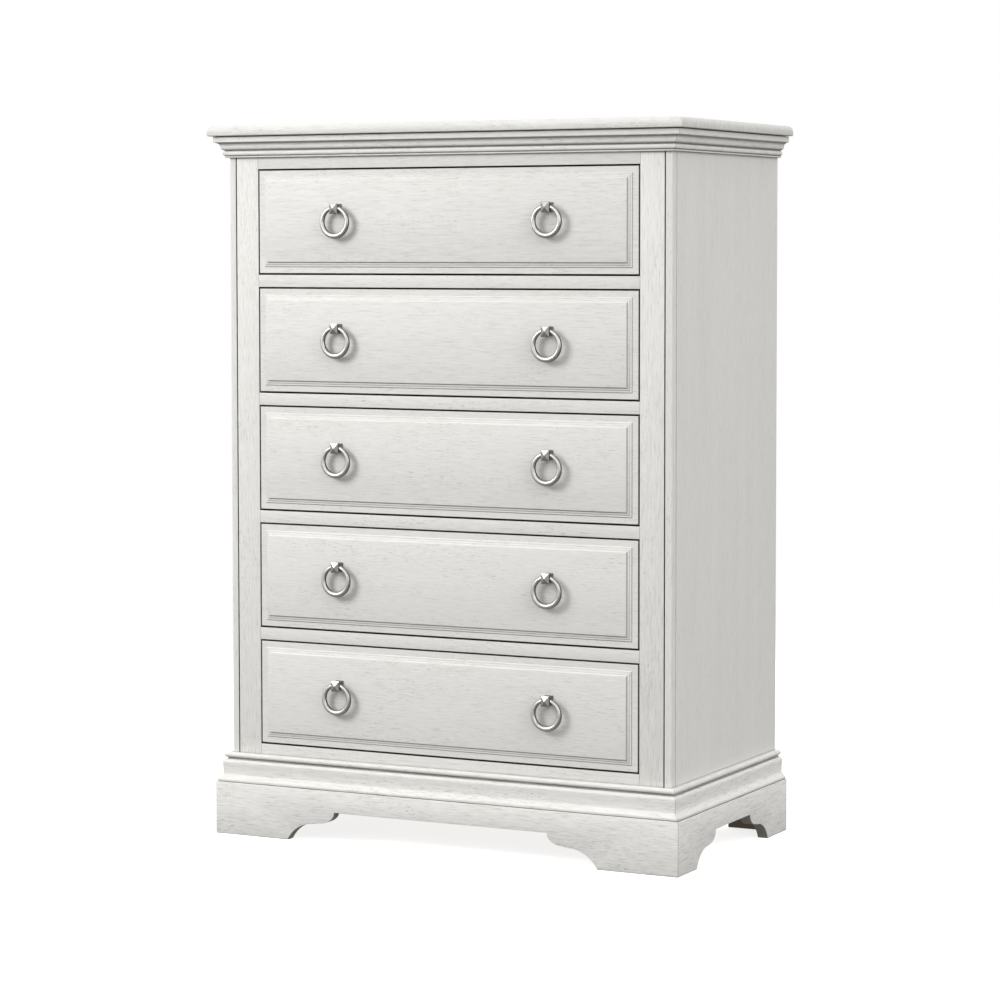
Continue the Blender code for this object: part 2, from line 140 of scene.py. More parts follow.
# Fixings
SCREW_HEAD = 0.0050
SCREW_RISE = 0.0026
PIN_HEAD = 0.0022
PIN_RISE = 0.00045
PIN_INSET = 0.0035
SEATED = 0.0002
PINS_ACROSS = 7
PINS_UP = 9

side_low, side_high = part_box("side_panel_right")
stile_low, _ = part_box("stile_right")
slab_low, slab_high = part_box("top_panel")
base_low, base_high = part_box("bracket_base")
HALF = side_high.x
INNER = side_low.x
FRONT = side_low.y
BACK = side_high.y
OPENING = stile_low.x


# ---------------------------------------------------------------- finishes


class Finish:
    """A material under construction, with a short way to add and join its nodes."""

    def __init__(self, name):
        self.material = bpy.data.materials.new(name)
        self.material.use_nodes = True
        self.tree = self.material.node_tree
        self.shader = self.tree.nodes["Principled BSDF"]

    def add(self, kind, inputs=None, **settings):
        node = self.tree.nodes.new(kind)
        for key, value in settings.items():
            setattr(node, key, value)
        for key, value in (inputs or {}).items():
            self.join(node.inputs[key], value)
        return node

    def join(self, socket, value):
        if isinstance(value, bpy.types.NodeSocket):
            self.tree.links.new(value, socket)
        else:
            socket.default_value = value

    def math(self, operation, *values, clamp=False):
        node = self.add("ShaderNodeMath", operation=operation, use_clamp=clamp)
        for socket, value in zip(node.inputs, values):
            self.join(socket, value)
        return node.outputs[0]

    def mix(self, share, first, second, blend="MIX"):
        node = self.add("ShaderNodeMix", data_type="RGBA", blend_type=blend)
        self.join(node.inputs[0], share)
        self.join(node.inputs[6], first)
        self.join(node.inputs[7], second)
        return node.outputs[2]

    def ramp(self, value, low, high):
        node = self.add("ShaderNodeMapRange", {0: value, 1: low, 2: high})
        return node.outputs[0]

    def noise(self, vector, scale=1.0, detail=2.0, roughness=0.5, distortion=0.0):
        inputs = {
            "Vector": vector,
            "Scale": scale,
            "Detail": detail,
            "Roughness": roughness,
            "Distortion": distortion,
        }
        return self.add("ShaderNodeTexNoise", inputs).outputs[0]

    def place(self, shift=(0.0, 0.0, 0.0), scale=(1.0, 1.0, 1.0)):
        coordinates = self.add("ShaderNodeTexCoord")
        inputs = {"Vector": coordinates.outputs["Object"], "Location": shift, "Scale": scale}
        return self.add("ShaderNodeMapping", inputs).outputs[0]

    def bump(self, height, strength, distance):
        inputs = {"Strength": strength, "Distance": distance, "Height": height}
        node = self.add("ShaderNodeBump", inputs)
        self.join(self.shader.inputs["Normal"], node.outputs[0])


def along_grain(grain, along, across):
    """Scales that stretch a pattern along one axis, per metre."""
    return tuple(along if axis == grain else across for axis in "XYZ")


def seed_shift(seed):
    """A different stretch of timber for each board."""
    return (seed * 3.71 % 17.0, seed * 7.13 % 19.0, seed * 5.29 % 23.0)


def rgba(red, green, blue):
    return (red, green, blue, 1.0)


def grain_height(finish, grain, shift):
    """Four patterns of timber: broad tone, short brush dashes, fine pores and growth lines."""
    tone = finish.noise(finish.place(shift, along_grain(grain, 1.3, 16.0)), 1.0, 3.0, 0.55)
    brush = finish.noise(finish.place(shift, along_grain(grain, 34.0, 380.0)), 1.0, 3.0, 0.68)
    fine = finish.noise(finish.place(shift, along_grain(grain, 80.0, 1000.0)), 1.0, 1.0, 0.5)
    flow = finish.noise(
        finish.place(shift, along_grain(grain, 2.2, 34.0)), 1.0, 1.0, 0.4, distortion=0.35
    )
    rings = finish.math("FRACT", finish.math("MULTIPLY", flow, 11.0))
    return tone, brush, fine, finish.ramp(rings, 0.86, 1.0)


def whitewash(grain, seed, heavy=1.0):
    """Off-white wire-brushed paint; where it is heavy, more brown grain shows through. Painted
    shade darkens its hidden sides, gaps, grooves, corners and undersides, and wear and a painted
    highlight lighten its eased edges.
    """
    name = f"whitewash_{grain.lower()}_{seed}"
    if name in bpy.data.materials:
        return bpy.data.materials[name]
    finish = Finish(name)
    shift = seed_shift(seed)
    tone, brush, fine, lines = grain_height(finish, grain, shift)
    lift = 1.0 + 0.12 * max(heavy - 1.0, 0.0)
    colour = finish.mix(
        finish.ramp(tone, 0.32, 0.70),
        rgba(0.738 * lift, 0.731 * lift, 0.706 * lift),
        rgba(0.705 * lift, 0.697 * lift, 0.668 * lift),
    )
    streak = finish.math("MULTIPLY", finish.ramp(brush, 0.54, 0.70), 0.30 * heavy)
    colour = finish.mix(streak, colour, rgba(0.40, 0.375, 0.33))
    paint = finish.math("MULTIPLY", finish.ramp(brush, 0.47, 0.33), 0.55 * heavy)
    colour = finish.mix(paint, colour, rgba(0.80 * lift, 0.795 * lift, 0.775 * lift))
    colour = finish.mix(
        finish.math("MULTIPLY", lines, 0.10 * heavy), colour, rgba(0.45, 0.415, 0.36)
    )
    patches = finish.noise(finish.place(shift, along_grain(grain, 5.0, 22.0)), 1.0, 1.0)
    pores = finish.math("MULTIPLY", finish.ramp(fine, 0.64, 0.73), finish.ramp(patches, 0.44, 0.60))
    colour = finish.mix(
        finish.math("MULTIPLY", pores, 0.55 * heavy), colour, rgba(0.30, 0.27, 0.225)
    )

    cells = finish.add("ShaderNodeTexVoronoi", {"Vector": finish.place(shift), "Scale": 34.0})
    speck = finish.ramp(cells.outputs["Distance"], 0.040, 0.028)
    keep = finish.noise(finish.place(shift), 9.0, 0.0)
    speck = finish.math("MULTIPLY", speck, finish.ramp(keep, 0.54, 0.60))
    colour = finish.mix(
        finish.math("MULTIPLY", speck, 0.45 * heavy), colour, rgba(0.17, 0.13, 0.09)
    )

    # Painted shade: the attribute read here marks hidden sides, gaps, grooves and profile lines to
    # be darkened as if in shade; a noise breaks it up.
    painted_shade = finish.add("ShaderNodeAttribute", attribute_name="painted_shade").outputs["Fac"]
    # Painted shade in corners and narrow gaps, from ambient occlusion.
    shade = finish.add("ShaderNodeAmbientOcclusion", {"Distance": 0.007}, samples=6)
    corner = finish.ramp(shade.outputs["AO"], 0.60, 0.14)
    mottle = finish.noise(finish.place(shift, along_grain(grain, 20.0, 90.0)), 1.0, 2.0)
    shade_total = finish.math("MULTIPLY", painted_shade, finish.ramp(mottle, 0.10, 0.52))
    # Painted shade on the base boards' scroll edges and inner faces.
    cut_edge_shade = finish.add("ShaderNodeAttribute", attribute_name="cut_edge_shade").outputs["Fac"]
    shade_total = finish.math("MAXIMUM", shade_total, cut_edge_shade)
    shade_total = finish.math("MAXIMUM", shade_total, finish.math("MULTIPLY", corner, 0.95))
    # Painted shade on faces that look down, and on drawers right, away from the light.
    underside_shade = finish.add("ShaderNodeAttribute", attribute_name="underside_shade").outputs["Fac"]
    underside_shade = finish.math("MULTIPLY", finish.ramp(underside_shade, 0.50, 0.95), 0.80)
    shade_total = finish.math("MAXIMUM", shade_total, underside_shade)
    # All the painted shade together darkens the colour towards near black.
    colour = finish.mix(shade_total, colour, rgba(0.12, 0.107, 0.09))
    # Wear and painted highlight: the eased edges are lightened, partly as worn paint and partly as
    # light catching the rounding.
    edge = finish.add("ShaderNodeAttribute", attribute_name="worn_and_highlit").outputs["Fac"]
    edge = finish.math("MULTIPLY", edge, finish.ramp(mottle, 0.30, 0.50))
    colour = finish.mix(finish.math("MULTIPLY", edge, 0.5), colour, rgba(0.84, 0.83, 0.80))
    finish.join(finish.shader.inputs["Base Color"], colour)

    rough = finish.math("MULTIPLY_ADD", brush, 0.22, 0.40)
    finish.join(finish.shader.inputs["Roughness"], rough)
    finish.shader.inputs["Specular IOR Level"].default_value = 0.35
    height = finish.math("MULTIPLY_ADD", pores, -0.8, finish.math("MULTIPLY", brush, -0.9))
    height = finish.math("MULTIPLY_ADD", lines, -0.4, height)
    finish.bump(height, 0.35, 0.0003)
    return finish.material


def bare_wood(grain, seed, unshaded=1.0):
    """Clear-sealed pale hardwood inside the chest; a last argument below 1 paints shade over it,
    darkening it towards near black.
    """
    name = f"bare_wood_{grain.lower()}_{seed}"
    if name in bpy.data.materials:
        return bpy.data.materials[name]
    finish = Finish(name)
    tone, brush, fine, lines = grain_height(finish, grain, seed_shift(seed + 40))
    colour = finish.mix(
        finish.ramp(tone, 0.30, 0.72), rgba(0.56, 0.41, 0.255), rgba(0.45, 0.31, 0.18)
    )
    colour = finish.mix(finish.math("MULTIPLY", lines, 0.45), colour, rgba(0.30, 0.19, 0.10))
    streak = finish.ramp(brush, 0.48, 0.80)
    colour = finish.mix(finish.math("MULTIPLY", streak, 0.35), colour, rgba(0.36, 0.24, 0.14))
    pores = finish.ramp(fine, 0.62, 0.74)
    colour = finish.mix(finish.math("MULTIPLY", pores, 0.35), colour, rgba(0.24, 0.15, 0.08))
    # Painted shade: darkened towards near black where the part sits in shadow.
    colour = finish.mix(1.0 - unshaded, colour, rgba(0.055, 0.050, 0.045))
    finish.join(finish.shader.inputs["Base Color"], colour)
    rough = finish.math("MULTIPLY_ADD", brush, 0.25, 0.38)
    finish.join(finish.shader.inputs["Roughness"], rough)
    finish.bump(finish.math("MULTIPLY", brush, -1.0), 0.3, 0.0002)
    return finish.material


def plywood(grain):
    """Thin sealed plywood, for the back and the drawer bottoms."""
    name = f"plywood_{grain.lower()}"
    if name in bpy.data.materials:
        return bpy.data.materials[name]
    finish = Finish(name)
    tone, brush, _, lines = grain_height(finish, grain, seed_shift(77))
    broad = finish.noise(finish.place(scale=along_grain(grain, 0.8, 7.0)), 1.0, 3.0)
    colour = finish.mix(
        finish.ramp(broad, 0.30, 0.70), rgba(0.52, 0.385, 0.245), rgba(0.43, 0.305, 0.185)
    )
    colour = finish.mix(finish.math("MULTIPLY", lines, 0.30), colour, rgba(0.31, 0.205, 0.115))
    colour = finish.mix(
        finish.math("MULTIPLY", finish.ramp(brush, 0.5, 0.8), 0.25), colour, rgba(0.33, 0.23, 0.14)
    )
    finish.join(finish.shader.inputs["Base Color"], colour)
    finish.join(
        finish.shader.inputs["Roughness"], finish.math("MULTIPLY_ADD", tone, 0.2, 0.50)
    )
    finish.bump(finish.math("MULTIPLY", brush, -1.0), 0.25, 0.0002)
    return finish.material


def pewter():
    """Cast pewter: a painted highlight and reflection lighten what faces the front or up, painted
    shade darkens its sides, and patina darkens its hollows.
    """
    name = "aged_pewter"
    if name in bpy.data.materials:
        return bpy.data.materials[name]
    finish = Finish(name)
    blotch = finish.noise(finish.place(), 180.0, 3.0, 0.6)
    fine = finish.noise(finish.place(), 900.0, 2.0, 0.6)
    shade = finish.add("ShaderNodeAmbientOcclusion", {"Distance": 0.006}, samples=6)
    hollow = finish.ramp(shade.outputs["AO"], 0.75, 0.25)
    # Painted highlight and reflection where the surface faces the front or up, painted shade on its
    # sides.
    painted_highlight = finish.add("ShaderNodeAttribute", attribute_name="painted_highlight").outputs["Fac"]
    colour = finish.mix(
        finish.ramp(blotch, 0.35, 0.65), rgba(0.60, 0.59, 0.565), rgba(0.48, 0.47, 0.445)
    )
    colour = finish.mix(finish.ramp(painted_highlight, 0.92, 0.42), colour, rgba(0.13, 0.124, 0.114))
    colour = finish.mix(finish.math("MULTIPLY", hollow, 0.85), colour, rgba(0.06, 0.056, 0.05))
    finish.join(finish.shader.inputs["Base Color"], colour)
    finish.shader.inputs["Metallic"].default_value = 1.0
    rough = finish.math("MULTIPLY_ADD", blotch, 0.18, 0.26)
    finish.join(finish.shader.inputs["Roughness"], rough)
    finish.bump(finish.math("ADD", blotch, finish.math("MULTIPLY", fine, 0.3)), 0.25, 0.0003)
    return finish.material


def zinc():
    """Zinc-plated screws and staples."""
    name = "zinc_plate"
    if name in bpy.data.materials:
        return bpy.data.materials[name]
    finish = Finish(name)
    blotch = finish.noise(finish.place(), 400.0, 2.0)
    colour = finish.mix(blotch, rgba(0.62, 0.62, 0.60), rgba(0.48, 0.47, 0.43))
    finish.join(finish.shader.inputs["Base Color"], colour)
    finish.shader.inputs["Metallic"].default_value = 1.0
    finish.join(
        finish.shader.inputs["Roughness"], finish.math("MULTIPLY_ADD", blotch, 0.2, 0.3)
    )
    return finish.material


# ---------------------------------------------------------------- shaping


def settle(name, bm, body, made_of, smooth=32.0, stands_for=(), highlight_share=1.0):
    """Turn a finished bmesh into a piece that rides on its body, marked for painted shade where it
    looks down and a painted highlight where it faces the front or up; the last argument scales that
    highlight.
    """
    bmesh.ops.remove_doubles(bm, verts=bm.verts, dist=1e-6)
    bmesh.ops.recalc_face_normals(bm, faces=bm.faces)
    if bm.calc_volume(signed=True) < 0.0:
        bmesh.ops.reverse_faces(bm, faces=bm.faces)
    bm.normal_update()
    # Painted shade where faces look down, and on drawers right.
    paint_underside_shade(bm, name.startswith("drawer"))
    # Painted highlight: brighter where the surface faces the front or up.
    painted_highlight = bm.verts.layers.float.new("painted_highlight")
    for vert in bm.verts:
        vert[painted_highlight] = highlight_share * max(-vert.normal.y, vert.normal.z - 0.2, 0.0)
    mesh = bpy.data.meshes.new(name)
    bm.to_mesh(mesh)
    bm.free()
    mesh.materials.append(made_of)
    mesh.shade_smooth()
    mesh.set_sharp_from_angle(angle=math.radians(smooth))
    made = bpy.data.objects.new(name, mesh)
    bpy.context.scene.collection.objects.link(made)
    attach(made, body)
    if stands_for:
        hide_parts(*stands_for)
    return made


def paint_underside_shade(bm, rightward):
    """Painted shade: note how far each face looks down, away from the light, and on drawers how far
    it looks right too.
    """
    underside_shade = bm.faces.layers.float.new("underside_shade")
    for face in bm.faces:
        turned = max(-face.normal.z, 0.0)
        face[underside_shade] = 1.25 * max(turned, 0.9 * face.normal.x) if rightward else turned


def shade_sides(bm, share):
    """Darken with painted shade the faces of a board that turn away from the front."""
    painted_shade = bm.faces.layers.float.new("painted_shade")
    bm.normal_update()
    for face in bm.faces:
        if face.normal.y > -0.3:
            face[painted_shade] = share


def block(low, high):
    """A plain box between two corners."""
    bm = bmesh.new()
    bmesh.ops.create_cube(bm, size=1.0)
    low, high = Vector(low), Vector(high)
    bmesh.ops.scale(bm, verts=bm.verts, vec=high - low)
    bmesh.ops.translate(bm, verts=bm.verts, vec=(low + high) / 2)
    return bm


def soften(bm, edges, width, segments=3):
    """Round edges and mark the new faces for wear and a painted highlight, both of which lighten
    them.
    """
    worn_and_highlit = bm.faces.layers.float.get("worn_and_highlit") or bm.faces.layers.float.new("worn_and_highlit")
    made = bmesh.ops.bevel(
        bm,
        geom=edges,
        offset=width,
        affect="EDGES",
        segments=segments,
        profile=0.5,
        material=-1,
        clamp_overlap=True,
    )
    for face in made["faces"]:
        face[worn_and_highlit] = 1.0


def board(name, low, high, body, made_of, slot, ease=EASE, stands_for=(), side_shade=0.0):
    """A board with all its edges eased; its last argument is the share of painted shade on its
    hidden edges.
    """
    bm = block(low, high)
    bm.faces.layers.float.new("worn_and_highlit")
    soften(bm, bm.edges[:], ease)
    shade_sides(bm, side_shade)
    return settle(name, bm, body, made_of, stands_for=stands_for)


def push_out(bm, face, along):
    """Extrude one face and return the new end face."""
    pushed = bmesh.ops.extrude_face_region(bm, geom=[face])["geom"]
    verts = [item for item in pushed if isinstance(item, bmesh.types.BMVert)]
    bmesh.ops.translate(bm, verts=verts, vec=along)
    return next(item for item in pushed if isinstance(item, bmesh.types.BMFace))


def drop_walls(bm):
    """Remove the faces left inside a solid that was pushed out in stages."""
    walls = []
    for face in bm.faces:
        if all(len(edge.link_faces) > 2 for edge in face.edges):
            walls.append(face)
    bmesh.ops.delete(bm, geom=walls, context="FACES_ONLY")


def outline_solid(points, along, painted_shade=()):
    """A flat outline pushed along a direction; the third argument gives each corner's share of
    painted shade.
    """
    bm = bmesh.new()
    layer = bm.verts.layers.float.new("painted_shade")
    verts = [bm.verts.new(point) for point in points]
    for vert, share in zip(verts, painted_shade):
        vert[layer] = share
    face = bm.faces.new(verts)
    push_out(bm, face, along)
    return bm


def slice_off(bm, point, normal, keep_front):
    """Cut with a plane, drop one side and close the cut."""
    cut = bmesh.ops.bisect_plane(
        bm,
        geom=bm.verts[:] + bm.edges[:] + bm.faces[:],
        plane_co=point,
        plane_no=normal,
        clear_inner=keep_front,
        clear_outer=not keep_front,
    )
    rim = [item for item in cut["geom_cut"] if isinstance(item, bmesh.types.BMEdge)]
    bmesh.ops.holes_fill(bm, edges=rim)


def arc(centre, radii, start, end, steps):
    """Points of an elliptical arc in a plane, angles in degrees."""
    points = []
    for i in range(steps + 1):
        angle = math.radians(start + (end - start) * i / steps)
        across = centre[0] + radii[0] * math.cos(angle)
        points.append((across, centre[1] + radii[1] * math.sin(angle)))
    return points


# Give every point of an arc the same share of painted shade.
def shaded(points, painted_shade):
    return [(across, up, painted_shade) for across, up in points]


# ---------------------------------------------------------------- mouldings


def mitred_run(name, profile, side, seed, stands_for=()):
    """One length of moulding on the front or a side, cut at 45 degrees where it turns the corner.

    The profile lists overhang from the carcass, height, and share of painted shade.
    """
    shares = [share for _, _, share in profile]
    if side == "front":
        points = [(-HALF - SPARE_LENGTH, FRONT - out, z) for out, z, _ in profile]
        bm = outline_solid(points, (2 * (HALF + SPARE_LENGTH), 0.0, 0.0), shares)
        for hand in (-1.0, 1.0):
            corner = (hand * (HALF - MITRE_GAP), FRONT, 0.0)
            slice_off(bm, corner, (-hand, -1.0, 0.0), True)
        grain = "X"
    else:
        hand = -1.0 if side == "left" else 1.0
        points = [(hand * (HALF + out), FRONT - SPARE_LENGTH, z) for out, z, _ in profile]
        bm = outline_solid(points, (0.0, BACK - FRONT + SPARE_LENGTH, 0.0), shares)
        slice_off(bm, (hand * (HALF + MITRE_GAP), FRONT, 0.0), (-hand, -1.0, 0.0), False)
        grain = "Y"
    wood = whitewash(grain, seed, 1.3)
    settle(f"{name}_{side}", bm, "carcass", wood, 20.0, stands_for)


def cornice_profile():
    low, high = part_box("cornice_moulding")
    top, bottom = high.z, low.z
    # The third value of each point is its share of painted shade: dark lines under the slab's edge,
    # round the bead and along the bottom.
    profile = [(INSIDE_EDGE, top - 0.0005, 1.0), (0.0215, top - 0.0005, 1.0)]
    profile += [(0.0223, top - 0.0010, 0.6), (0.0223, top - 0.0022, 0.0)]
    profile += [(0.0223, top - 0.0102, 0.0), (0.0217, top - 0.0111, 0.3)]
    profile += [(0.0198, top - 0.0112, 0.6), (0.0193, top - 0.0118, 0.1)]
    profile += shaded(arc((0.0193, top - 0.0190), (0.0068, 0.0070), 90.0, 180.0, 10)[1:], 0.0)
    profile += shaded(arc((0.0060, top - 0.0190), (0.0065, 0.0066), 0.0, -80.0, 10)[1:], 0.0)
    profile += [(0.0062, top - 0.0258, 0.4), (0.0058, top - 0.0264, 0.7)]
    profile += shaded(arc((0.0055, top - 0.0312), (0.0038, 0.0045), 80.0, -80.0, 12), 0.0)
    profile += [(0.0056, top - 0.0359, 0.9), (0.0062, top - 0.0364, 0.7)]
    profile += [(0.0064, top - 0.0372, 0.0), (0.0062, bottom + 0.0006, 0.0)]
    profile += [(0.0055, bottom, 0.8), (INSIDE_EDGE, bottom, 1.0)]
    return profile


def base_profile():
    low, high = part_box("base_moulding")
    top, bottom = high.z, low.z
    # The third value of each point is its share of painted shade: a dark neck under the bead and
    # lines at the top and bottom.
    profile = [(INSIDE_EDGE, top, 0.5), (0.0045, top, 0.05)]
    profile += shaded(arc((0.0065, top - 0.0050), (0.0055, 0.0050), 95.0, -80.0, 14), 0.0)
    profile += [(0.0070, top - 0.0103, 0.8), (0.0070, top - 0.0127, 0.3)]
    profile += shaded(arc((0.0085, top - 0.0205), (0.0064, 0.0078), 90.0, 15.0, 10), 0.0)
    profile += [(0.0143, top - 0.0240, 0.0), (0.0136, top - 0.0400, 0.0)]
    profile += [(0.0139, top - 0.0410, 0.0), (0.0146, top - 0.0425, 0.0)]
    profile += [(0.0158, top - 0.0441, 0.0), (0.0171, top - 0.0457, 0.0)]
    profile += [(0.0186, top - 0.0471, 0.0), (0.0201, top - 0.0484, 0.0)]
    profile += [(0.0213, top - 0.0497, 0.0), (0.0215, top - 0.0508, 0.0)]
    profile += [(0.0215, bottom + 0.0012, 0.0), (0.0212, bottom + 0.0003, 0.4)]
    profile += [(INSIDE_EDGE, bottom + 0.0003, 1.0)]
    return profile


def add_mouldings():
    for name, profile, node, seed in (
        ("cornice", cornice_profile(), "cornice_moulding", 3),
        ("base_moulding", base_profile(), "base_moulding", 11),
    ):
        mitred_run(name, profile, "front", seed, (node,))
        mitred_run(name, profile, "left", seed + 1)
        mitred_run(name, profile, "right", seed + 2)


# ---------------------------------------------------------------- carcass


def add_slab():
    """The top, with a rounded nose all round but at the back, and a little painted shade on its
    ends and front.
    """
    bm = block(slab_low, slab_high)
    bm.faces.layers.float.new("worn_and_highlit")

    def runs(height):
        found = []
        for edge in bm.edges:
            middle = (edge.verts[0].co + edge.verts[1].co) / 2
            level = all(abs(vert.co.z - height) < 1e-6 for vert in edge.verts)
            if level and middle.y < slab_high.y - 1e-4:
                found.append(edge)
        return found

    soften(bm, runs(slab_high.z), NOSE, NOSE_SEGMENTS)
    soften(bm, runs(slab_low.z), SLAB_UNDER_EASE, 3)
    worn_and_highlit = bm.faces.layers.float["worn_and_highlit"]
    # Painted shade on the ends and front of the nose.
    painted_shade = bm.faces.layers.float.new("painted_shade")
    bm.normal_update()
    for face in bm.faces:
        face[worn_and_highlit] = 0.0
        if abs(face.normal.x) > SLAB_TURN:
            face[painted_shade] = SLAB_END_SHADE
        elif face.normal.y < -SLAB_TURN:
            face[painted_shade] = SLAB_FRONT_SHADE
    settle("slab", bm, "carcass", whitewash("X", 1), 40.0, ("top_panel",))


def is_upright(edge):
    return abs(edge.verts[0].co.z - edge.verts[1].co.z) > 0.1


def on_front_corner(edge):
    at = edge.verts[0].co
    return abs(abs(at.x) - HALF) < 1e-5 and abs(at.y - FRONT) < 1e-5


def add_sides():
    """A corner strip and a plain panel on each side, with a fine groove between them."""
    low, high = side_low.z, side_high.z
    groove = FRONT + STRIP_DEPTH
    for name, hand in (("left", -1.0), ("right", 1.0)):
        ends = sorted((hand * (INNER + STILE_GAP), hand * HALF))
        bm = block((ends[0], FRONT, low), (ends[1], groove - STRIP_GAP, high))
        bm.faces.layers.float.new("worn_and_highlit")
        upright = [edge for edge in bm.edges if is_upright(edge)]
        corner = [edge for edge in upright if on_front_corner(edge)]
        others = [edge for edge in upright if not on_front_corner(edge)]
        soften(bm, corner, STRIP_ROUND, 5)
        others = [edge for edge in others if edge.is_valid]
        soften(bm, others, STRIP_EASE, 2)
        # Painted shade on the strip's inner side and back, so the groove beside the stile looks
        # dark.
        painted_shade = bm.faces.layers.float.new("painted_shade")
        bm.normal_update()
        for face in bm.faces:
            if face.normal.x * hand < -0.5 or face.normal.y > 0.5:
                face[painted_shade] = 1.0
        wood = whitewash("Z", 21 if hand < 0 else 22)
        settle(f"corner_strip_{name}", bm, "carcass", wood)

        ends = sorted((hand * INNER, hand * HALF))
        inset = sorted((hand * (INNER + REBATE), hand * HALF))
        bm = block((ends[0], groove + STRIP_GAP, low), (ends[1], BACK - PANEL_END, high))
        bm.faces.layers.float.new("worn_and_highlit")
        near = groove + 0.001
        uprights = [edge for edge in bm.edges if is_upright(edge) and edge.verts[0].co.y < near]
        soften(bm, uprights, PANEL_EASE, 2)
        wood = whitewash("Z", 24 if hand < 0 else 25, 0.6)
        node = f"side_panel_{name}"
        settle(node + "_board", bm, "carcass", wood, stands_for=(node,))
        board(
            f"side_rebate_{name}",
            (inset[0], BACK - PANEL_END, low),
            (inset[1], BACK, high),
            "carcass",
            wood,
            "whitewashed_wood",
            FINE_EASE,
        )


def add_stiles():
    for name, hand, seed in (("stile_left", -1.0, 31), ("stile_right", 1.0, 32)):
        low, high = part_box(name)
        ends = sorted((hand * OPENING, hand * (INNER - STILE_GAP)))
        board(
            name + "_board",
            (ends[0], low.y, low.z),
            (ends[1], high.y, high.z),
            "carcass",
            whitewash("Z", seed, 1.25),
            "whitewashed_wood",
            STILE_EASE,
            (name,),
            # share of painted shade on the stile's hidden sides
            1.0,
        )


def add_web_frame(node, seed, guided, plate):
    """Front rail, two runners, a rear rail, side guides and stop blocks."""
    low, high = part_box(node)
    rail_top = high.z - (GUIDE_HEIGHT if guided else 0.0)
    frame_top = rail_top if plate is None else low.z + plate
    behind = FRONT + FRONT_CLEARANCE
    reach = high.x
    rear = high.y
    depth = TOP_RAIL_DEPTH if plate is not None else RAIL_DEPTH
    gap_under = 0.0 if node == "bottom_web_frame" else RAIL_TRIM
    gap_over = 0.0 if node == "top_frame" else RAIL_TRIM
    board(
        f"{node}_rail",
        (-OPENING + RAIL_TRIM, FRONT, low.z + gap_under),
        (OPENING - RAIL_TRIM, FRONT + depth, rail_top - gap_over),
        "carcass",
        whitewash("X", seed),
        "whitewashed_wood",
        RAIL_EASE,
        (node,),
        # share of painted shade on the rail's hidden sides
        0.95,
    )
    inside = FRONT + depth + HAIRLINE
    for name, hand in (("left", -1.0), ("right", 1.0)):
        ends = sorted((hand * (reach - RUNNER_WIDTH), hand * reach))
        start = inside if plate is None else behind
        runner = ((ends[0], start, low.z), (ends[1], rear - REAR_RAIL_DEPTH, frame_top))
        wood = bare_wood("Y", seed + (1 if hand < 0 else 2))
        board(f"{node}_runner_{name}", *runner, "carcass", wood, "drawer_wood", FINE_EASE)
        if not guided:
            continue
        ends = sorted((hand * (OPENING + GUIDE_GAP), hand * (reach - GUIDE_INSET)))
        guide = ((ends[0], behind, frame_top), (ends[1], rear - GUIDE_END, high.z))
        board(f"{node}_guide_{name}", *guide, "carcass", wood, "drawer_wood", FINE_EASE)
        middle = hand * STOP_PLACE
        near = FRONT + STOP_CLEARANCE
        stop = (
            (middle - STOP_LENGTH / 2, near, frame_top),
            (middle + STOP_LENGTH / 2, near + STOP_DEPTH, frame_top + STOP_HEIGHT),
        )
        wood = bare_wood("X", seed)
        board(f"{node}_stop_{name}", *stop, "carcass", wood, "drawer_wood", FINE_EASE)
    ends = (-reach, rear - REAR_RAIL_DEPTH + HAIRLINE, low.z), (reach, rear, frame_top)
    wood = bare_wood("X", seed + 3)
    board(f"{node}_rear_rail", *ends, "carcass", wood, "drawer_wood", FINE_EASE)


def add_web_frames():
    add_web_frame("bottom_web_frame", 41, True, None)
    for number in range(1, DRAWERS):
        add_web_frame(f"web_frame_{number}", 41 + number, True, None)
    add_web_frame("top_frame", 47, False, TOP_FRAME_THICKNESS)


def scroll(length):
    """A bracket foot's curve: distance from the foot's inner corner, and height."""
    radius = 0.0631
    run = 0.056
    lower = arc((0.0, SHELF_HEIGHT - radius), (radius, radius), 27.46, 90.0, 14)
    curve = [((run - across) / FRONT_SCROLL, max(up, 0.0)) for across, up in lower]
    upper = arc((0.068, ARCH_HEIGHT), (0.032, ARCH_HEIGHT - 0.036), -90.0, 0.0, 10)
    curve += [(across / FRONT_SCROLL, up) for across, up in upper]
    return [(share * length, up) for share, up in curve]


